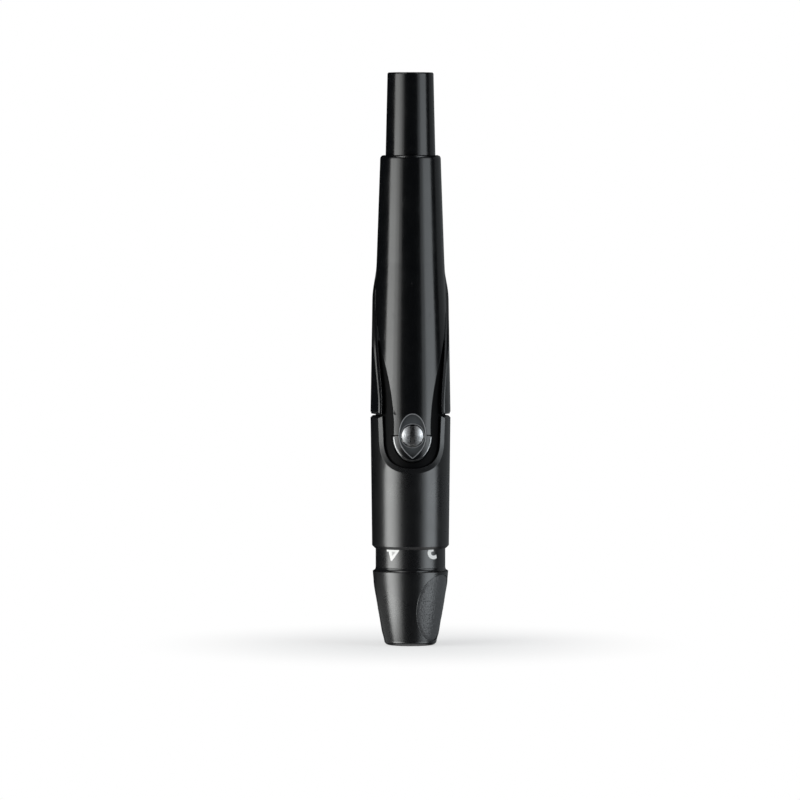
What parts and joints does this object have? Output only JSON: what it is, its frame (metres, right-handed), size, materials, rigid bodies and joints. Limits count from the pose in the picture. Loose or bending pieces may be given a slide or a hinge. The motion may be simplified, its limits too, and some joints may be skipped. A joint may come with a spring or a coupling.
{
  "type": "lancing device",
  "caption": "Pen-shaped lancing device with a plunger that winds it, a rocker release button with a clear window, an ejector sleeve and a depth dial.",
  "frame": {"origin": "centre of the nose's flat end, on the pen's axis", "axes": "+Z along the pen's axis from the nose to the plunger, -Y towards the release button"},
  "size_m": [0.0164, 0.0163, 0.118],
  "materials": {
    "gloss_black": "gloss",
    "satin_black": "satin",
    "panel_grey": "satin",
    "clear_lens": "gloss",
    "inner_grey": "satin",
    "inner_white": "satin",
    "drum_white": "satin",
    "winder_blue": "satin",
    "flag_yellow": "satin",
    "spring_steel": "satin"
  },
  "bodies": {
    "cap_core": {"cap_core": "inner_grey"},
    "click_carrier": {"click_ring": "inner_white"},
    "depth_dial": {"nose_cap": "satin_black", "scale_ring": "satin_black"},
    "housing": {"rear_housing": "gloss_black", "front_chassis": "inner_grey", "rear_chassis": "inner_grey", "end_plate": "inner_white", "lever_pin": "spring_steel", "lever_spring": "spring_steel"},
    "ejector": {"ejector_sleeve": "satin_black", "ejector_crossbar": "spring_steel"},
    "plunger": {"plunger": "gloss_black", "winding_spindle": "spring_steel", "return_spring": "spring_steel"},
    "winder": {"winder": "winder_blue"},
    "drum": {"drive_drum": "drum_white", "spring_hub": "winder_blue", "drive_spring": "spring_steel"},
    "holder": {"lancet_holder": "inner_white", "follower_pin": "spring_steel", "holder_spring": "spring_steel"},
    "release": {"release_lever": "panel_grey", "window_lens": "clear_lens"},
    "indicator": {"indicator_flag": "flag_yellow"}
  },
  "joints": [
    {"name": "depth_turn", "type": "hinge", "parent": "click_carrier", "child": "depth_dial", "pos_m": [0, 0, 0], "axis": [0, 0, 1], "range_deg": [-204.01, 136.01]},
    {"name": "depth_advance", "type": "slide", "parent": "cap_core", "child": "click_carrier", "axis": [0, 0, 1], "range_m": [-0.0012, 0.0008]},
    {"name": "cap_lift", "type": "slide", "parent": "cap_core", "child": "housing", "axis": [0, 0, 1], "range_m": [0, 0.024]},
    {"name": "ejector_slide", "type": "slide", "parent": "housing", "child": "ejector", "axis": [0, 0, -1], "range_m": [0, 0.0036]},
    {"name": "prime_press", "type": "slide", "parent": "housing", "child": "plunger", "axis": [0, 0, -1], "range_m": [0, 0.008], "stiffness_N_per_m": 300, "springref_m": -0.003, "deforming": ["return_spring"]},
    {"name": "winder_turn", "type": "hinge", "parent": "housing", "child": "winder", "pos_m": [0, 0, 0], "axis": [0, 0, 1], "range_deg": [0, 180.01]},
    {"name": "drive_turn", "type": "hinge", "parent": "housing", "child": "drum", "pos_m": [0, 0, 0], "axis": [0, 0, 1], "range_deg": [0, 150.01]},
    {"name": "lance_stroke", "type": "slide", "parent": "housing", "child": "holder", "axis": [0, 0, -1], "range_m": [0, 0.006], "stiffness_N_per_m": 60, "springref_m": -0.002, "deforming": ["holder_spring"]},
    {"name": "release_press", "type": "hinge", "parent": "housing", "child": "release", "pos_m": [0, -0.006, 0.052], "axis": [1, 0, 0], "range_deg": [0, 4.8], "stiffness_Nm_per_rad": 0.2, "springref_deg": -2.29},
    {"name": "indicator_shift", "type": "slide", "parent": "housing", "child": "indicator", "axis": [0, 0, 1], "range_m": [0, 0.004]}
  ],
  "couplings": [
    {"joint": "depth_turn", "follows": "depth_advance", "rad_per_m": 2967.1},
    {"joint": "winder_turn", "follows": "prime_press", "rad_per_m": 392.7},
    {"joint": "drive_turn", "follows": "lance_stroke", "rad_per_m": 436.33}
  ]
}
